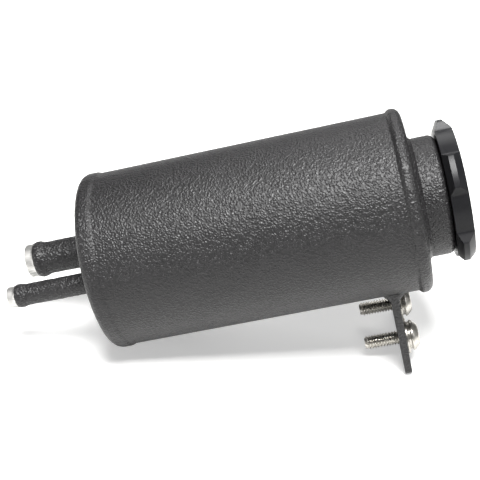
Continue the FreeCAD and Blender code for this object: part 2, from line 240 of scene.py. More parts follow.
def ridge(radius: Pair, rise: Pair, pitch: float, centre: Pair = TANK_AXIS) -> Grid:
    """A screw thread's ridge: a triangular section carried along a helix.

    The section's foot lies a little inside the smaller radius and its narrow crest on the
    larger. The ridge grows out of the core over the first half turn and back into it over the
    last.

    Args:
        radius: foot and crest radius.
        rise: heights of the first and last turn.
        pitch: rise in one turn.
        centre: where the axis stands.

    Returns:
        The grid, closed round the section and open at its two ends.
    """
    steps_per_turn, sunk = 44, 0.12
    half_foot, half_crest = 0.46, 0.07
    turns = (rise[1] - rise[0]) / pitch
    share = np.linspace(0, 1, int(turns * steps_per_turn))[:, None]
    angle = share * turns * 2 * pi
    runout = np.clip(np.minimum(share, 1 - share) * turns / 0.5, 0.02, 1)
    section = np.array([(0, -half_foot), (1, -half_crest), (1, half_crest), (0, half_foot)]).T
    reach = radius[0] - sunk + (radius[1] - radius[0] + sunk) * section[0] * runout
    height = rise[0] + share * (rise[1] - rise[0]) + section[1] * pitch * runout
    return polar_grid(angle, reach, height, centre)


# ---- meshes


@dataclass
class Piece:
    """One visible piece: its name, its body, the CAD nodes it stands for and its finish.

    Crease is the angle in degrees past which an edge is sharp, and bevelled the angle past
    which it is rounded.
    """

    name: str
    body: Body
    nodes: tuple[str, ...]
    finish: Finish
    crease: float = 38.0
    bevelled: float = 28.0
    mesh: bmesh.types.BMesh = field(default_factory=bmesh.new)

    def grid(
        self, grid: Grid, wrap: bool = True, closed: bool = True, ends: bool = False
    ) -> Piece:
        """Add a grid of points as quads.

        Args:
            grid: points as (columns, rows, 3), in millimetres.
            wrap: whether the last column joins the first.
            closed: whether the last row joins the first.
            ends: whether to close the first and last column with a face.

        Returns:
            The piece.
        """
        columns, rows, _ = grid.shape
        part = bpy.data.meshes.new("grid")
        number = np.arange(columns * rows).reshape(columns, rows)
        across = np.concatenate([number, number[:1]]) if wrap else number
        if closed:
            across = np.concatenate([across, across[:, :1]], 1)
        sides = [across[:-1, :-1], across[1:, :-1], across[1:, 1:], across[:-1, 1:]]
        faces = np.stack(sides, -1).reshape(-1, 4).tolist()
        if ends:
            faces += [number[0].tolist(), number[-1][::-1].tolist()]
        part.from_pydata(grid.reshape(-1, 3) * MM, [], faces)
        self.mesh.from_mesh(part)
        bpy.data.meshes.remove(part)
        return self

    def copy(self, node: bpy.types.Object) -> Piece:
        """Add a merged copy of a CAD node, with its flat faces whole again.

        Args:
            node: the CAD node's object.

        Returns:
            The piece.
        """
        mesh = self.mesh
        mesh.from_mesh(node.data)
        bmesh.ops.remove_doubles(mesh, verts=mesh.verts, dist=1e-6)
        flat = radians(1.0)
        bmesh.ops.dissolve_limit(mesh, angle_limit=flat, verts=mesh.verts, edges=mesh.edges)
        return self

    def finished(self, bevel: float = 0.0) -> None:
        """Close the mesh, put it in the scene, dress it and make it ride on its body.

        Args:
            bevel: the width in millimetres that its sharp edges are rounded by.
        """
        bmesh.ops.remove_doubles(self.mesh, verts=self.mesh.verts, dist=2e-7)
        bmesh.ops.recalc_face_normals(self.mesh, faces=self.mesh.faces)
        data = bpy.data.meshes.new(self.name)
        self.mesh.to_mesh(data)
        self.mesh.free()
        data.polygons.foreach_set("use_smooth", np.ones(len(data.polygons), bool))
        data.set_sharp_from_angle(angle=radians(self.crease))
        thing = bpy.data.objects.new(self.name, data)
        bpy.context.collection.objects.link(thing)
        if bevel:
            edge = thing.modifiers.new("rounded_edges", "BEVEL")
            edge.width = bevel * MM
            edge.segments = 3
            edge.limit_method = "ANGLE"
            edge.angle_limit = radians(self.bevelled)
            edge.harden_normals = True
        data.materials.append(self.finish.material())
        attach(thing, self.body.value)
        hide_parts(*self.nodes)
        log.info("%s: %d faces, for %s", self.name, len(data.polygons), ", ".join(self.nodes))


# ---- materials

# The colour sockets of a Mix node, which has the same names for numbers and vectors.
MIX_SHARE, MIX_FIRST, MIX_SECOND, MIX_RESULT = 0, 6, 7, 2


class Wiring:
    """A short way to add and link the nodes of one tree."""

    def __init__(self, tree: bpy.types.NodeTree) -> None:
        """Keep the tree."""
        self.tree = tree

    def add(
        self, kind: str, inputs: dict[str | int, object] | None = None, **settings: object
    ) -> bpy.types.Node:
        """Add a node.

        Args:
            kind: the node's type.
            inputs: values or sockets for its inputs.
            settings: its own properties.

        Returns:
            The node.
        """
        node = self.tree.nodes.new(kind)
        for name, value in settings.items():
            setattr(node, name, value)
        for name, value in (inputs or {}).items():
            if isinstance(value, bpy.types.NodeSocket):
                self.tree.links.new(value, node.inputs[name])
            else:
                node.inputs[name].default_value = value
        return node

    def maths(self, operation: str, *values: object) -> bpy.types.NodeSocket:
        """Do a sum on numbers or sockets."""
        return self.add("ShaderNodeMath", dict(enumerate(values)), operation=operation).outputs[0]

    def spread(
        self, value: object, low: float, high: float, to_low: float, to_high: float
    ) -> bpy.types.NodeSocket:
        """Map the range from low to high smoothly to the one from to_low to to_high."""
        ends = {"From Min": low, "From Max": high, "To Min": to_low, "To Max": to_high}
        inputs = {"Value": value, **ends}
        node = self.add("ShaderNodeMapRange", inputs, interpolation_type="SMOOTHSTEP")
        return node.outputs["Result"]

    def mix(self, share: object, first: object, second: object) -> bpy.types.NodeSocket:
        """Mix two colours, by a share that is 0 for the first and 1 for the second."""
        inputs = {MIX_SHARE: share, MIX_FIRST: first, MIX_SECOND: second}
        return self.add("ShaderNodeMix", inputs, data_type="RGBA").outputs[MIX_RESULT]

    def bump(
        self, height: object, strength: float = 1.0, distance: float = 1.0
    ) -> bpy.types.NodeSocket:
        """A normal bent by a height; distance is the height's unit, in metres."""
        inputs = {"Strength": strength, "Distance": distance, "Height": height}
        return self.add("ShaderNodeBump", inputs).outputs[0]

    def noise(
        self, where: object, scale: object, detail: float = 2.0, rough: float = 0.5
    ) -> bpy.types.NodeSocket:
        """A noise pattern; scale is lumps in a metre."""
        inputs = {"Vector": where, "Scale": scale, "Detail": detail, "Roughness": rough}
        return self.add("ShaderNodeTexNoise", inputs).outputs["Fac"]

    def here(self) -> bpy.types.NodeSocket:
        """Object coordinates, which are the CAD frame's."""
        return self.add("ShaderNodeTexCoord").outputs["Object"]


def fresh_wiring(owner: bpy.types.Material | bpy.types.World) -> Wiring:
    """Give a material or a world an empty node tree, and its wiring."""
    owner.use_nodes = True
    owner.node_tree.nodes.clear()
    return Wiring(owner.node_tree)


def new_group(name: str, inputs: dict[str, float], outputs: list[str]) -> tuple[Wiring, dict, dict]:
    """Start a node group with a vector input called Where.

    Args:
        name: the group's name.
        inputs: its number inputs and their usual values.
        outputs: its number outputs.

    Returns:
        The wiring inside it, its input sockets by name and a place for its results.
    """
    tree = bpy.data.node_groups.new(name, "ShaderNodeTree")
    tree.interface.new_socket("Where", in_out="INPUT", socket_type="NodeSocketVector")
    for word, usual in inputs.items():
        socket = tree.interface.new_socket(word, in_out="INPUT", socket_type="NodeSocketFloat")
        socket.default_value = usual
    for word in outputs:
        tree.interface.new_socket(word, in_out="OUTPUT", socket_type="NodeSocketFloat")
    wiring = Wiring(tree)
    entry = wiring.add("NodeGroupInput")
    leave = wiring.add("NodeGroupOutput")
    return wiring, entry.outputs, leave.inputs


@cache
def wrinkle_group() -> bpy.types.NodeTree:
    """The wrinkled skin of the powder coat: round cells with finer grain on them.

    Returns:
        A group with outputs Height and Hollow, the mask of the low places between cells.
    """
    inputs = {"Cells": 900.0, "Grain": 0.5}
    wires, given, out = new_group("wrinkle_skin", inputs, ["Height", "Hollow"])
    here = given["Where"]
    bends_per_metre, bend = 700.0, 1.1 * MM
    inputs = {"Vector": here, "Scale": bends_per_metre, "Detail": 1.0}
    bent = wires.add("ShaderNodeTexNoise", inputs).outputs["Color"]
    shift = wires.add("ShaderNodeVectorMath", {0: bent, "Scale": bend}, operation="SCALE")
    inputs = {0: here, 1: shift.outputs[0]}
    moved = wires.add("ShaderNodeVectorMath", inputs, operation="ADD").outputs[0]
    inputs = {"Vector": moved, "Scale": given["Cells"], "Smoothness": 0.35}
    cells = wires.add("ShaderNodeTexVoronoi", inputs, feature="SMOOTH_F1").outputs["Distance"]
    dome = wires.spread(cells, 0.05, 0.75, 1.0, 0.0)
    lumps = wires.noise(here, given["Cells"], detail=2.0, rough=0.55)
    height = wires.maths("ADD", dome, wires.maths("MULTIPLY", lumps, given["Grain"]))
    wires.tree.links.new(height, out["Height"])
    wires.tree.links.new(wires.spread(height, 0.15, 0.6, 1.0, 0.0), out["Hollow"])
    return wires.tree


@cache
def blotch_group() -> bpy.types.NodeTree:
    """Slow unevenness of a finish: broad patches broken up by a finer one.

    Returns:
        A group with the output Patch, from 0 to 1.
    """
    inputs = {"Broad": 60.0, "Fine": 500.0}
    wires, given, out = new_group("uneven_patches", inputs, ["Patch"])
    broad_share, fine_share = 0.65, 0.35
    broad = wires.noise(given["Where"], given["Broad"], detail=3.0, rough=0.6)
    fine = wires.noise(given["Where"], given["Fine"], detail=2.0, rough=0.6)
    broad = wires.maths("MULTIPLY", broad, broad_share)
    both = wires.maths("ADD", broad, wires.maths("MULTIPLY", fine, fine_share))
    wires.tree.links.new(wires.spread(both, 0.3, 0.7, 0.0, 1.0), out["Patch"])
    return wires.tree


@cache
def lathe_group() -> bpy.types.NodeTree:
    """Fine tool marks that run round a vertical axis: noise of the radius and the height.

    Returns:
        A group with the output Marks; Across and Back place the axis, in metres.
    """
    inputs = {"Across": 0.0, "Back": TANK_Y * MM, "Lines": 2500.0}
    wires, given, out = new_group("tool_marks", inputs, ["Marks"])
    place = wires.add("ShaderNodeSeparateXYZ", {0: given["Where"]}).outputs
    across = wires.maths("SUBTRACT", place["X"], given["Across"])
    back = wires.maths("SUBTRACT", place["Y"], given["Back"])
    square = wires.maths("POWER", across, 2.0)
    square = wires.maths("ADD", square, wires.maths("POWER", back, 2.0))
    inputs = {"X": wires.maths("SQRT", square), "Z": place["Z"]}
    spot = wires.add("ShaderNodeCombineXYZ", inputs).outputs[0]
    marks = wires.noise(spot, given["Lines"], detail=3.0, rough=0.7)
    wires.tree.links.new(marks, out["Marks"])
    return wires.tree


def placed(
    wires: Wiring, group: bpy.types.NodeTree, where: object, **values: float
) -> bpy.types.bpy_prop_collection:
    """Place a shared group in a material.

    Args:
        wires: the material's wiring.
        group: the group.
        where: the socket that feeds its input Where.
        values: its number inputs.

    Returns:
        The group's outputs, by name.
    """
    node = wires.add("ShaderNodeGroup", node_tree=group)
    wires.tree.links.new(where, node.inputs["Where"])
    for name, value in values.items():
        node.inputs[name].default_value = value
    return node.outputs


@dataclass(frozen=True)
class Finish:
    """A finish: the record's material slot and a name for its Blender material."""

    slot: str
    name: str

    def material(self) -> bpy.types.Material:
        """Make the finish's material, the first time it is asked for.

        Returns:
            The material.
        """
        if self.name in bpy.data.materials:
            return bpy.data.materials[self.name]
        made = bpy.data.materials.new(self.name)
        wires = fresh_wiring(made)
        skin = wires.add("ShaderNodeBsdfPrincipled", self.skin(wires))
        wires.add("ShaderNodeOutputMaterial", {"Surface": skin.outputs[0]})
        return made

    def skin(self, wires: Wiring) -> dict[str, object]:
        """Wire the finish; each has its own way.

        Args:
            wires: the material's wiring.

        Returns:
            Values and sockets for the inputs of a Principled BSDF.
        """
        raise NotImplementedError


@dataclass(frozen=True)
class WrinkleCoat(Finish):
    """Black wrinkle powder coat, with bare metal below a given height if it has one.

    Cells is the number of wrinkles in a metre. Depth, thickness, the raggedness of the coat's
    edge and its softness are millimetres.
    """

    cells: float = 1120.0
    depth: float = 0.205
    bare_below: float | None = None
    dark: Colour = (0.0088, 0.0083, 0.0088, 1)
    pale: Colour = (0.0132, 0.0125, 0.0132, 1)
    # painted shade: the darker colour laid in the hollows between wrinkle cells
    painted_hollow_shade: Colour = (0.009, 0.0087, 0.009, 1)
    roughness: float = 0.40
    hollow_roughness: float = 0.12
    specular: float = 0.4
    thickness: float = 0.15
    raggedness: float = 0.9
    softness: float = 0.04
    bright_metal: Colour = (0.66, 0.65, 0.63, 1)
    grey_metal: Colour = (0.30, 0.30, 0.29, 1)

    def skin(self, wires: Wiring) -> dict[str, object]:
        """Wire the coat: cells give the bump, and the hollows between cells get painted shade, a
        darker colour, and are duller than domes.

        Args:
            wires: the material's wiring.

        Returns:
            The shader's inputs.
        """
        where = wires.here()
        wrinkle = placed(wires, wrinkle_group(), where, Cells=self.cells, Grain=0.6)
        patch = placed(wires, blotch_group(), where)["Patch"]
        # painted shade: the hollow mask darkens the coat's colour in the low places between cells
        colour = wires.mix(wrinkle["Hollow"], wires.mix(patch, self.dark, self.pale), self.painted_hollow_shade)
        duller = wires.maths("MULTIPLY", wrinkle["Hollow"], self.hollow_roughness)
        rough = wires.maths("ADD", duller, self.roughness)
        height = wires.maths("MULTIPLY", wrinkle["Height"], self.depth * MM)
        bare = 0.0
        if self.bare_below is not None:
            bare = self.bare_mask(wires, where)
            coated = wires.maths("SUBTRACT", 1.0, bare)
            drawn = wires.add("ShaderNodeMapping", {"Vector": where, "Scale": (1, 1, 0.2)})
            marks = wires.noise(drawn.outputs[0], 300.0, detail=3.0, rough=0.65)
            streak = wires.spread(marks, 0.35, 0.68, 0.0, 1.0)
            metal = wires.mix(streak, self.bright_metal, self.grey_metal)
            colour = wires.mix(bare, colour, metal)
            bare_rough = wires.maths("MULTIPLY", wires.spread(marks, 0.3, 0.7, 0.44, 0.60), bare)
            rough = wires.maths("ADD", wires.maths("MULTIPLY", rough, coated), bare_rough)
            coat = wires.maths("ADD", height, self.thickness * MM)
            height = wires.maths("MULTIPLY", coat, coated)
        return {
            "Base Color": colour,
            "Metallic": bare,
            "Roughness": rough,
            "Specular IOR Level": self.specular,
            "Normal": wires.bump(height),
        }

    def bare_mask(self, wires: Wiring, where: bpy.types.NodeSocket) -> bpy.types.NodeSocket:
        """Mask the bare metal below the coat's ragged edge.

        Args:
            wires: the material's wiring.
            where: the place on the object.

        Returns:
            A mask that is 1 on bare metal.
        """
        level = wires.add("ShaderNodeSeparateXYZ", {0: where}).outputs["Z"]
        lumps = wires.noise(where, 700.0, detail=3.0, rough=0.6)
        edge = wires.maths("ADD", level, wires.maths("MULTIPLY", lumps, self.raggedness * MM))
        middle = (self.bare_below + self.raggedness / 2) * MM
        soft = self.softness * MM
        return wires.spread(edge, middle - soft, middle + soft, 1.0, 0.0)


@dataclass(frozen=True)
class Anodised(Finish):
    """Satin black anodised aluminium with fine tool marks."""

    dark: Colour = (0.008, 0.008, 0.009, 1)
    pale: Colour = (0.011, 0.011, 0.012, 1)
    smooth: float = 0.30
    rough: float = 0.36
    specular: float = 0.15
    mark_depth: float = 0.02

    def skin(self, wires: Wiring) -> dict[str, object]:
        """Wire the finish: tool marks give a slight bump and patches vary the sheen.

        Args:
            wires: the material's wiring.

        Returns:
            The shader's inputs.
        """
        where = wires.here()
        marks = placed(wires, lathe_group(), where, Lines=3000.0)["Marks"]
        patch = placed(wires, blotch_group(), where, Broad=90.0, Fine=1500.0)["Patch"]
        return {
            "Base Color": wires.mix(patch, self.dark, self.pale),
            "Roughness": wires.spread(patch, 0.0, 1.0, self.smooth, self.rough),
            "Specular IOR Level": self.specular,
            "Normal": wires.bump(marks, 0.25, self.mark_depth * MM),
        }


@dataclass(frozen=True)
class TurnedMetal(Finish):
    """Bare turned or rolled metal, with tarnish in patches."""

    clean: Colour = (0.62, 0.60, 0.56, 1)
    dull: Colour = (0.48, 0.46, 0.42, 1)
    smooth: float = 0.24
    rough: float = 0.36
    grain: float = 0.008

    def skin(self, wires: Wiring) -> dict[str, object]:
        """Wire the metal: patches mix the clean and the dull colour, a fine grain is the bump.

        Args:
            wires: the material's wiring.

        Returns:
            The shader's inputs.
        """
        where = wires.here()
        patch = placed(wires, blotch_group(), where, Broad=120.0, Fine=350.0)["Patch"]
        grain = wires.noise(where, 2600.0, detail=3.0, rough=0.6)
        return {
            "Base Color": wires.mix(patch, self.clean, self.dull),
            "Metallic": 1.0,
            "Roughness": wires.spread(patch, 0.0, 1.0, self.smooth, self.rough),
            "Normal": wires.bump(grain, 0.5, self.grain * MM),
        }


@dataclass(frozen=True)
class SinteredDisc(Finish):
    """Porous sintered bronze: packed grains, with painted shade in the pores between them."""

    grain: Colour = (0.42, 0.27, 0.12, 1)
    # painted shade: the dark colour of the pores between grains
    painted_pore_shade: Colour = (0.03, 0.02, 0.012, 1)
    depth: float = 0.12

    def skin(self, wires: Wiring) -> dict[str, object]:
        """Wire the metal: each grain is one Voronoi cell, and the gaps between them are painted
        dark as the shade inside the pores.

        Args:
            wires: the material's wiring.

        Returns:
            The shader's inputs.
        """
        inputs = {"Vector": wires.here(), "Scale": 2600.0}
        cells = wires.add("ShaderNodeTexVoronoi", inputs).outputs["Distance"]
        # painted shade: mask of the gaps between grains, which take the dark pore colour
        pore_shade_mask = wires.spread(cells, 0.35, 0.6, 0.0, 1.0)
        height = wires.maths("SUBTRACT", 1.0, cells)
        return {
            "Base Color": wires.mix(pore_shade_mask, self.grain, self.painted_pore_shade),
            "Metallic": 0.9,
            "Roughness": 0.5,
            "Normal": wires.bump(height, 0.8, self.depth * MM),
        }


@dataclass(frozen=True)
class SealRubber(Finish):
    """Black nitrile rubber with a faint bloom."""

    black: Colour = (0.012, 0.012, 0.012, 1)
    bloom: Colour = (0.024, 0.024, 0.024, 1)
    depth: float = 0.02

    def skin(self, wires: Wiring) -> dict[str, object]:
        """Wire the rubber: patches of bloom lighten it a little.

        Args:
            wires: the material's wiring.

        Returns:
            The shader's inputs.
        """
        where = wires.here()
        patch = placed(wires, blotch_group(), where, Broad=120.0, Fine=1200.0)["Patch"]
        grain = wires.noise(where, 3000.0, detail=2.0)
        return {
            "Base Color": wires.mix(patch, self.black, self.bloom),
            "Roughness": 0.48,
            "Normal": wires.bump(grain, 0.3, self.depth * MM),
        }


COAT = WrinkleCoat("black_coat", "wrinkle_coat")
STEEL = TurnedMetal("stainless", "stainless_steel")
PLAIN_ALUMINIUM = TurnedMetal(
    "bare_aluminium",
    "plain_aluminium",
    clean=(0.80, 0.80, 0.81, 1),
    dull=(0.62, 0.62, 0.64, 1),
    smooth=0.25,
    rough=0.45,
    grain=0.02,
)
ANODISED = Anodised("black_anodised", "anodised_cap")
BRONZE = SinteredDisc("sintered_bronze", "sintered_bronze")
RUBBER = SealRubber("seal_rubber", "seal_rubber")


# ---- sub-assemblies


@dataclass
class Tank:
    """The welded tank: tube, end plates, the two seam welds and the filler neck.

    A seam bead runs from its end on the tube over its toe and its shoulder to its crown, and
    its back is buried in the metal.
    """

    nodes: dict[str, bpy.types.Object]
    radius: float = 38.1
    wall: float = 2.1
    floor: float = -120.0
    roof: float = 18.3
    plate: float = 4.0
    recess: float = 3.0
    bead_back: float = 1.2
    buried: float = 0.6
    joint: float = 38.0
    toe_lift: float = 0.02
    end_sink: float = 0.10
    low_crown: float = 38.8
    low_levels: Triple = (-113.8, -112.3, -110.6)
    high_crown: float = 39.4
    high_levels: Triple = (13.6, 12.2, 10.4)
    neck_radius: float = 25.4
    neck_bore: float = 19.3
    neck_top: float = 30.1
    neck_lead: float = 0.6
    neck_leg: float = 2.2

    def bead(self, seed: int, height: float) -> Swell:
        """The unevenness of a hand-laid bead: slow drift, and ripples along it.

        Args:
            seed: picks the pattern.
            height: half the depth of the hollows, in millimetres.

        Returns:
            A function that gives what to add to the radius, never more than nothing.
        """

        def swell(angle: np.ndarray, level: np.ndarray) -> np.ndarray:
            """Ripples are waves in angle, bent by the level and by a slow drift."""
            across, back = self.joint * np.cos(angle), self.joint * np.sin(angle)
            ring = np.stack(np.broadcast_arrays(across, back, level * 0.3), -1)
            drift = waves(ring, 26.0, seed)
            ripple = np.sin(angle * 84 + drift * 2.2 + level * 0.9)
            lumps = 0.55 * drift + 0.30 * ripple + 0.35 * waves(ring, 5.0, seed + 1)
            return height * (np.minimum(lumps, 1) - 1)

        return swell

    def lathe(
        self, name: str, node: str, outline: Outline, longest: float, steps: int,
        swell: Swell | None = None,
    ) -> None:
        """Turn an outline about the tank's axis into a coated piece.

        Args:
            name: the piece's name.
            node: the CAD node it stands for.
            outline: its section, as (radius, height).
            longest: the longest side that its section is divided into.
            steps: columns round the axis.
            swell: what to add to the radius.
        """
        surface = turned(refined(outline, longest), steps=steps, swell=swell)
        Piece(name, Body.TANK, (node,), COAT).grid(surface).finished()

    def seam(self, crown: float, levels: Triple, outer: float, inner: float) -> list[Pair]:
        """The corners of a seam bead's section.

        Args:
            crown: its greatest radius.
            levels: the heights of its shoulder, its toe and its end on the tube.
            outer: the height of the tank's end.
            inner: the height of the tube's end.

        Returns:
            The corners, as (radius, height), from the tank's end over the crown to the tube.
        """
        shoulder, toe, last = levels
        back = self.radius - self.wall - self.bead_back
        lifted, sunk = self.radius + self.toe_lift, self.radius - self.end_sink
        return [(back, outer), (crown, outer), (crown, shoulder), (lifted, toe), (sunk, last),
                (self.radius - self.buried, inner), (back, inner)]

    def build(self) -> None:
        """Build every piece of the tank."""
        inner = self.radius - self.wall
        low, high = self.floor + self.recess, self.roof - self.recess
        tube = np.array([(inner, low), (self.radius, low), (self.radius, high), (inner, high)])
        self.lathe("tank_skin", "tank_tube", tube, 6.0, 256)
        corners = self.seam(self.low_crown, self.low_levels, self.floor, low)
        bottom = rounded(corners, [0, 3.0, 2.2, 1.6, 0, 0, 0])
        self.lathe("bottom_bead", "bottom_seam_weld", bottom, 0.6, 360, self.bead(3, 0.10))
        corners = self.seam(self.high_crown, self.high_levels, self.roof, high)
        top = rounded(corners, [0, 3.5, 1.8, 1.4, 0, 0, 0])[::-1]
        self.lathe("top_bead", "top_seam_weld", top, 0.6, 360, self.bead(8, 0.12))
        self.build_ends()
        self.build_neck()

    def build_ends(self) -> None:
        """Build the two end plates."""
        under = self.roof - self.plate
        inner, hole = self.radius - self.wall, self.neck_radius
        lid = np.array([(hole, under), (inner, under), (inner, self.roof), (hole, self.roof)])
        self.lathe("tank_lid", "top_plate", lid, 2.0, 180)
        base = Piece("tank_base", Body.TANK, ("bottom_plate",), COAT)
        base.copy(self.nodes["bottom_plate"]).finished()

    def build_neck(self) -> None:
        """Build the filler neck and the fillet bead round its foot."""
        bore, outer, lead = self.neck_bore, self.neck_radius, self.neck_lead
        low, high = self.roof - self.plate, self.neck_top
        corners = [(bore, low), (outer, low), (outer, high),
                   (bore + lead, high), (bore, high - lead)]
        neck = rounded(corners, [0, 0, 2.6, 0.15, 0.15])
        self.lathe("neck", "filler_neck", neck, 1.2, 220)
        back, sunk = outer - self.buried, self.roof - self.buried
        reach, rise = outer + self.neck_leg, self.roof + self.neck_leg
        corners = [(back, sunk), (reach, sunk), (reach, self.roof + 0.1),
                   (outer, rise), (back, rise)]
        fillet = rounded(corners, [0, 0, 0.1, 0.3, 0])
        self.lathe("neck_bead", "neck_weld", fillet, 0.5, 300, self.bead(12, 0.08))


@dataclass
class HoseTube:
    """A beaded hose tube with the weld at its root.

    The bead has a flat land in the middle and slopes down to the tip and to the tube.
    """

    name: str
    nodes: tuple[str, str]
    across: float
    radius: float
    bore: float
    end: float
    bead: float
    bead_height: float
    tip: float
    top: float
    coat_end: float
    seed: int
    half_land: float = 0.8
    front: float = 1.5
    back: float = 2.5
    lump: float = 2.4
    leg: float = 2.5
    floor: float = -120.0

    def build(self) -> None:
        """Build the tube, roughened by its coat, and its weld."""
        centre = (self.across, TANK_Y)
        low, high = self.bead_height - self.half_land, self.bead_height + self.half_land
        outline = rounded(
            [(self.bore, self.end), (self.tip, self.end), (self.tip, low - self.front),
             (self.bead, low), (self.bead, high), (self.radius, high + self.back),
             (self.radius, self.top), (self.bore, self.top)],
            [0.3, 0.4, 1.0, 2.2, 2.6, 5.0, 0.2, 0.2],
        )
        finish = WrinkleCoat(
            "black_coat", self.name + "_coat", cells=1000.0, depth=0.24, bare_below=self.coat_end
        )
        smooth = turned(refined(outline, 0.5), centre, 112)
        skin = roughened(smooth, self.lump, 0.035, self.seed, self.coat_end)
        Piece(self.name, Body.TANK, (self.nodes[0],), finish).grid(skin).finished()
        hidden, reach = self.radius - 0.5, self.radius + self.leg
        low, high = self.floor - self.leg, self.floor + 0.4
        corners = [(hidden, low), (self.radius, low), (reach, self.floor - 0.1), (reach, high),
                   (hidden, high)]
        root = rounded(corners, [0, 0.3, 0.3, 0, 0])
        weld = roughened(turned(refined(root, 0.4), centre, 120), self.lump, 0.07, self.seed + 1)
        Piece(self.name + "_root", Body.TANK, (self.nodes[1],), COAT).grid(weld).finished()


@dataclass
class Bracket:
    """The mounting bracket, its welds, and the two screws with their washers.

    Each washer is its hole, its radius and its thickness.
    """

    nodes: dict[str, bpy.types.Object]
    thickness: float = 3.175
    stud: float = 12.7
    shank: float = 3.175
    root: float = 2.42
    free_end: float = -15.0
    pitch: float = 1.27
    washer: Triple = (3.5, 7.9, 1.2)
    lock_washer: Triple = (3.3, 6.1, 1.2)
    half_split: float = 7.0
    splits: Pair = (90.0, 240.0)
    head_radius: float = 6.8
    head_rim: float = 1.0
    head_height: float = 3.5
    head_flat: float = 4.2
    half_key: float = 1.985
    key_depth: float = 2.1
    joint: float = 38.0
    weld_reach: float = 41.0

    def build(self) -> None:
        """Build the plate, then its welds, then the fasteners."""
        plate = Piece("bracket_plate", Body.TANK, ("mounting_bracket",), COAT)
        plate.copy(self.nodes["mounting_bracket"]).finished(bevel=0.45)
        self.build_welds()
        names = ("screws", "flat_washers", "lock_washers")
        nodes = ("bracket_screws", "bracket_washers", "bracket_lock_washers")
        fasteners = [Piece(name, Body.TANK, (node,), STEEL) for name, node in zip(names, nodes)]
        screws, washers, locks = fasteners
        for side, middle in zip((-1, 1), self.splits):
            centre = (side * self.stud, 0.0)
            self.add_screw(screws, centre)
            flat = self.ring(self.washer, self.thickness, [0.15, 0.35, 0.25, 0.15])
            washers.grid(turned(flat, centre, 96))
            low = self.thickness + self.washer[2]
            split = self.ring(self.lock_washer, low, [0.1, 0.2, 0.2, 0.1])
            span = (middle + self.half_split, middle + 360 - self.half_split)
            locks.grid(turned(split, centre, 80, span), wrap=False, ends=True)
        for piece in fasteners:
            piece.finished()

    def ring(self, sizes: Triple, low: float, radii: list[float]) -> Outline:
        """The section of a washer.

        Args:
            sizes: its hole, its radius and its thickness.
            low: the height of its underside.
            radii: the rounding of its corners.

        Returns:
            The section, as (radius, height).
        """
        hole, outer, thickness = sizes
        high = low + thickness
        return rounded([(hole, low), (outer, low), (outer, high), (hole, high)], radii)

    def build_welds(self) -> None:
        """Build the beads above and below the plate.

        Each is a triangle swept round the tank, which tapers at both ends of the joint.
        """
        beads = Piece("bracket_beads", Body.TANK, ("bracket_welds",), COAT)
        ends = (90 - self.weld_reach, 90 + self.weld_reach)
        angle = np.radians(np.linspace(*ends, 180))[:, None]
        fade = np.clip((self.weld_reach - np.abs(np.degrees(angle) - 90)) / 4, 0.05, 1) ** 0.5
        corners = [(-0.5, 0.0), (3.0, 0.0), (2.9, 0.5), (0.1, 3.2), (-0.5, 3.2)]
        section = rounded(corners, [0, 0, 0.4, 0.4, 0])
        buried = 0.3
        for foot, way in ((self.thickness - buried, 1), (buried, -1)):
            outline = section[::way]
            ripple = 1 + 0.05 * np.sin(angle * 95 + outline[None, :, 0])
            radius = self.joint + outline[None, :, 0] * fade * ripple
            height = foot + way * outline[None, :, 1] * fade * ripple
            beads.grid(polar_grid(angle, radius, height), wrap=False, ends=True)
        beads.finished()

    def add_screw(self, piece: Piece, centre: Pair) -> None:
        """Add one screw: a core with a helical ridge, and a domed head with a hexagon socket.

        The head is a lathe whose inner rings follow a hexagon: its radius at an angle is half
        the width across flats over the cosine of the angle from the nearest flat's middle.

        Args:
            piece: the piece that takes it.
            centre: where its axis stands.
        """
        steps = 96
        root, end = self.root, self.free_end
        low = self.thickness + self.washer[2] + self.lock_washer[2]
        hidden = low + 0.2
        corners = [(0, end), (root, end), (root + 0.15, end + 0.4), (root, hidden), (0, hidden)]
        piece.grid(turned(rounded(corners, [0, 0.2, 0, 0, 0]), centre, steps))
        thread = ridge((root, self.shank), (end + 0.35, low), self.pitch, centre)
        piece.grid(thread, wrap=False, ends=True)
        head, rim, top = self.head_radius, low + self.head_rim, low + self.head_height
        corners = [(0, low), (head, low), (head, rim), (self.head_flat, top), (0, top)]
        dome = rounded(corners, [0, 0.25, 1.0, 1.6, 0])
        dome = dome[(dome[:, 0] > 2.9) | (dome[:, 1] < low + 0.1)]
        angle = (np.arange(steps) * 2 * pi / steps)[:, None]
        hexagon = self.half_key / np.cos((angle + pi / 6) % (pi / 3) - pi / 6)
        floor = top - self.key_depth
        rings = [dome[:, 0] + 0 * angle, hexagon * 1.12, hexagon, hexagon * 0.97, 0 * angle]
        levels = [dome[:, 1], [top], [top - 0.2], [floor], [floor - 0.4]]
        radius = np.concatenate(rings, 1)
        height = np.concatenate(levels) + 0 * angle
        piece.grid(polar_grid(angle, radius, height, centre), closed=False)


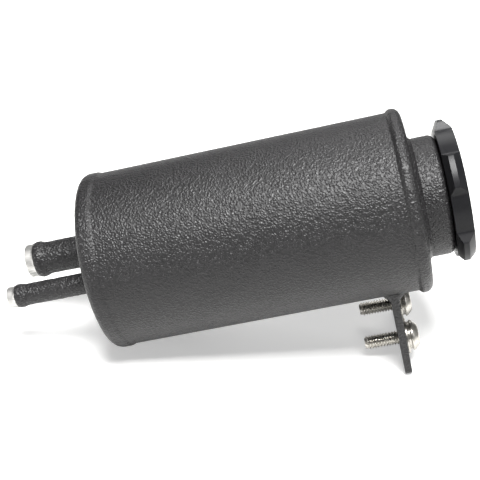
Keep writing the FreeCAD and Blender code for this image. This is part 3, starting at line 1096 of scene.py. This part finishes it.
@dataclass
class FillerCap:
    """The lobed screw cap, its seal and its vent disc.

    A cutout between two lobes has a round floor out to floor_angle, in degrees from its
    middle, and straight flanks from there to mouth_angle.
    """

    lobes: int = 5
    clocking: float = -9.9
    face: float = 30.3
    shoulder: float = 26.8
    radius: float = 30.7
    lobe_bottom: float = 32.4
    lobe_top: float = 34.6
    top: float = 37.7
    crown: float = 27.4
    floor: float = 27.1
    floor_angle: float = 17.2
    mouth_angle: float = 23.0
    floor_rounding: float = 0.45
    mouth_rounding: float = 0.16
    vent: float = 3.0
    vent_hole: float = 1.0
    vent_seat: float = 35.5
    plug: float = 17.9
    plug_bore: float = 15.0
    plug_roof: float = 33.0
    plug_end: float = 19.6
    plug_lead: float = 0.6
    groove: Pair = (19.45, 22.3)
    groove_roof: float = 32.3
    seal: float = 20.9
    seal_section: float = 1.08
    seal_height: float = 31.2
    thread_crest: float = 19.05
    thread_rise: Pair = (20.9, 29.6)
    pitch: float = 25.4 / 12

    def plan(self) -> tuple[np.ndarray, np.ndarray]:
        """The cap's outline from above.

        A flank is a straight line: its radius is its distance from the axis over the cosine of
        the angle from its normal. The radius is the larger of the floor and the flank, then the
        smaller of that and the lobe, and each choice is rounded by a smooth maximum: half of
        the sum and of the root of the squared difference plus a small square.

        Returns:
            The angles, in radians, and the radii, as columns.
        """
        angle = np.radians(np.arange(0, 360, 0.5))[:, None]
        share = 360 / self.lobes
        near = np.abs((np.degrees(angle) + share / 2) % share - share / 2)
        ends = np.radians([self.floor_angle, self.mouth_angle])
        corner = np.stack([np.cos(ends), np.sin(ends)], 1) * [[self.floor], [self.radius]]
        along = unit(corner[1] - corner[0])
        distance = corner[0, 0] * along[1] - corner[0, 1] * along[0]
        flank = distance / np.cos(np.radians(near) + np.arctan2(along[0], along[1]))
        inner = 0.5 * (self.floor + flank + np.hypot(self.floor - flank, self.floor_rounding))
        outer = np.hypot(inner - self.radius, self.mouth_rounding)
        return angle + radians(self.clocking), 0.5 * (inner + self.radius - outer)

    def inside(self) -> np.ndarray:
        """The inner section, from the vent's mouth round the plug to the seal's groove.

        Returns:
            The corners, as (radius, height).
        """
        near, far = self.groove
        vent = [(self.vent, self.top), (self.vent, self.vent_seat),
                (self.vent_hole, self.vent_seat), (self.vent_hole, self.plug_roof)]
        plug = [(self.plug_bore, self.plug_roof), (self.plug_bore, self.plug_end),
                (self.plug - self.plug_lead, self.plug_end), (self.plug, self.plug_end + 0.7),
                (self.plug, self.face)]
        groove = [(near, self.face), (near, self.groove_roof), (far, self.groove_roof),
                  (far, self.face)]
        return np.array(vent + plug + groove)

    def build(self) -> None:
        """Build the cap, the ridge of its thread, the vent disc and the seal."""
        angle, rho = self.plan()
        slope = (self.lobe_bottom - self.face) / (self.radius - self.shoulder)
        under = self.face + (rho - self.shoulder) * slope
        fall = (self.top - self.lobe_top) / (self.radius - self.crown)
        over = self.top - np.maximum(rho - self.crown, 0) * fall
        flat = 0 * rho
        rings = [flat + self.shoulder, rho, rho, np.minimum(rho, self.crown)]
        levels = [flat + self.face, under, over, flat + self.top]
        radius = np.concatenate([*rings, flat + self.inside()[:, 0]], 1)
        height = np.concatenate([*levels, flat + self.inside()[:, 1]], 1)
        cap = Piece("cap", Body.CAP, ("cap_body",), ANODISED)
        cap.grid(polar_grid(angle, radius, height)).finished(bevel=0.3)
        thread = ridge((self.plug, self.thread_crest), self.thread_rise, self.pitch)
        piece = Piece("cap_thread", Body.CAP, ("cap_body",), ANODISED)
        piece.grid(thread, wrap=False, ends=True).finished()
        edge, low, high = self.vent - 0.05, self.vent_seat, self.top - 0.3
        disc = rounded([(0, low), (edge, low), (edge, high), (0, high)], [0, 0.1, 0.3, 0])
        vent = Piece("vent_disc", Body.CAP, ("cap_vent",), BRONZE)
        vent.grid(turned(disc, steps=64)).finished()
        around = np.linspace(0, 2 * pi, 20, endpoint=False)
        round_section = np.stack([np.cos(around), np.sin(around)], 1) * self.seal_section
        section = round_section + [self.seal, self.seal_height]
        seal = Piece("o_ring", Body.SEAL, ("cap_seal",), RUBBER)
        seal.grid(turned(section, steps=160)).finished()


@dataclass
class Baffle:
    """The drilled baffle plate inside the tank and its tack welds."""

    nodes: dict[str, bpy.types.Object]

    def build(self) -> None:
        """Build both from the CAD shapes, with broken edges."""
        for name, node in (("baffle", "baffle_plate"), ("tack_beads", "baffle_tacks")):
            piece = Piece(name, Body.TANK, (node,), PLAIN_ALUMINIUM)
            piece.copy(self.nodes[node]).finished(bevel=0.15)


# ---- studio


@dataclass
class Studio:
    """The table, the soft lights and the camera.

    Foot is a point of the table in millimetres and tilt its lean from the tank's axis in
    degrees. The table's half width, the tank's middle and the lights' places are in metres.
    Paper is the table's own glow as light and as the camera sees it, and surround is the same
    for the world. Eye is where the camera stands and the next three are its directions.
    """

    foot: Triple = (0.0, 12.5, 0.4)
    tilt: float = 16.35
    half_table: float = 2.0
    paper: Pair = (0.19, 0.43)
    surround: Pair = (0.12, 1.1)
    middle: Triple = (0.0, TANK_Y * MM, -0.05)
    eye: Triple = (362.69, -278.40, -2.79)
    right: Triple = (-0.008577, 0.232884, 0.972467)
    up: Triple = (-0.531055, -0.825087, 0.192906)
    back: Triple = (0.847294, -0.514778, 0.130751)
    lens: float = 73.918
    sensor: float = 36.0

    def build(self) -> None:
        """Build the table, world, camera and lights."""
        self.build_table()
        self.build_world()
        self.build_camera()
        normal = self.normal()
        towards = (Vector(self.back) - normal * Vector(self.back).dot(normal)).normalized()
        self.add_light("key", normal * 1.0 + towards * 0.34, size=0.45, power=31.5)
        self.add_light("cap_side", Vector((0.25, -0.25, 1.0)), size=0.7, power=2.0)
        self.add_light("rear", normal * 0.8 - towards * 0.9, size=0.7, power=5.0)
        self.add_light("hose_side", Vector((0.45, -0.25, -1.0)), size=0.6, power=4.5)

    def normal(self) -> Vector:
        """The table's upward direction."""
        return Vector((0.0, -cos(radians(self.tilt)), sin(radians(self.tilt))))

    def build_table(self) -> None:
        """Build a large pale sheet, which the camera sees through from below."""
        side = Vector((self.half_table, 0.0, 0.0))
        along = self.normal().cross(side)
        middle = Vector(self.foot) * MM
        signs = ((-1, -1), (1, -1), (1, 1), (-1, 1))
        corners = [tuple(middle + side * a + along * b) for a, b in signs]
        data = bpy.data.meshes.new("table")
        data.from_pydata(corners, [], [(0, 1, 2, 3)])
        data.materials.append(self.paper_material())
        table = bpy.data.objects.new("table", data)
        bpy.context.collection.objects.link(table)
        log.info("table: tilted %.1f degrees", self.tilt)

    def paper_material(self) -> bpy.types.Material:
        """Make the table's matte paper, lit a little from within and clear from below.

        Returns:
            The material.
        """
        sheet = bpy.data.materials.new("table_paper")
        wires = fresh_wiring(sheet)
        matte = wires.add("ShaderNodeBsdfDiffuse", {"Color": (0.72, 0.72, 0.71, 1)})
        strength = self.seen(wires, *self.paper)
        glow = wires.add("ShaderNodeEmission", {"Color": (1, 1, 1, 1), "Strength": strength})
        paper = wires.add("ShaderNodeAddShader", {0: matte.outputs[0], 1: glow.outputs[0]})
        clear = wires.add("ShaderNodeBsdfTransparent")
        below = wires.add("ShaderNodeNewGeometry").outputs["Backfacing"]
        inputs = {0: below, 1: paper.outputs[0], 2: clear.outputs[0]}
        both = wires.add("ShaderNodeMixShader", inputs)
        wires.add("ShaderNodeOutputMaterial", {"Surface": both.outputs[0]})
        return sheet

    def seen(self, wires: Wiring, light: float, look: float) -> bpy.types.NodeSocket:
        """A strength that is one value as light and another to the camera."""
        camera = wires.add("ShaderNodeLightPath").outputs["Is Camera Ray"]
        return wires.spread(camera, 0.0, 1.0, light, look)

    def build_world(self) -> None:
        """Build a white surround, dimmer as light than it looks."""
        world = bpy.data.worlds.new("surround")
        bpy.context.scene.world = world
        wires = fresh_wiring(world)
        inputs = {"Color": (1, 1, 1, 1), "Strength": self.seen(wires, *self.surround)}
        glow = wires.add("ShaderNodeBackground", inputs)
        wires.add("ShaderNodeOutputWorld", {"Surface": glow.outputs[0]})

    def add_light(self, name: str, offset: Vector, size: float, power: float) -> None:
        """Add a square soft light that faces the tank.

        Args:
            name: its name.
            offset: where it stands from the tank's middle, in metres.
            size: the length of its sides, in metres.
            power: its power in watts.
        """
        lamp = bpy.data.lights.new(name, "AREA")
        lamp.size = size
        lamp.energy = power
        thing = bpy.data.objects.new(name, lamp)
        thing.location = Vector(self.middle) + offset
        thing.rotation_euler = offset.to_track_quat("Z", "Y").to_euler()
        bpy.context.collection.objects.link(thing)
        log.info("light %s: %.1f W", name, power)

    def build_camera(self) -> None:
        """Place the camera by its own three directions."""
        data = bpy.data.cameras.new("camera")
        data.lens = self.lens
        data.sensor_width = self.sensor
        data.clip_start = 0.01
        thing = bpy.data.objects.new("camera", data)
        bpy.context.collection.objects.link(thing)
        rows = [Vector(v).normalized() for v in (self.right, self.up, self.back)]
        turn = Matrix(rows).transposed().to_4x4()
        thing.matrix_world = Matrix.Translation(Vector(self.eye) * MM) @ turn
        bpy.context.scene.camera = thing
        view = bpy.context.scene.view_settings
        view.view_transform = "Standard"
        view.look = "None"


FEED_TUBE = HoseTube(
    "feed_hose_tube",
    ("feed_tube", "feed_tube_weld"),
    across=-12.5, radius=7.33, bore=6.0, end=-156.5, bead=8.15, bead_height=-150.9,
    tip=7.5, top=-116.0, coat_end=-152.7, seed=21,
)
RETURN_TUBE = HoseTube(
    "return_hose_tube",
    ("return_tube", "return_tube_weld"),
    across=15.0, radius=4.65, bore=3.6, end=-160.2, bead=5.1, bead_height=-155.1,
    tip=4.6, top=-85.0, coat_end=-156.7, seed=31,
)


def main() -> None:
    """Build the reservoir and its studio, and note the sizes."""
    logging.basicConfig(level=logging.INFO, format="%(name)s %(message)s", stream=sys.stdout)
    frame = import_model()
    nodes = frame["nodes"]
    Studio().build()
    Tank(nodes).build()
    FEED_TUBE.build()
    RETURN_TUBE.build()
    Bracket(nodes).build()
    FillerCap().build()
    Baffle(nodes).build()


if __name__ == "__main__":
    main()
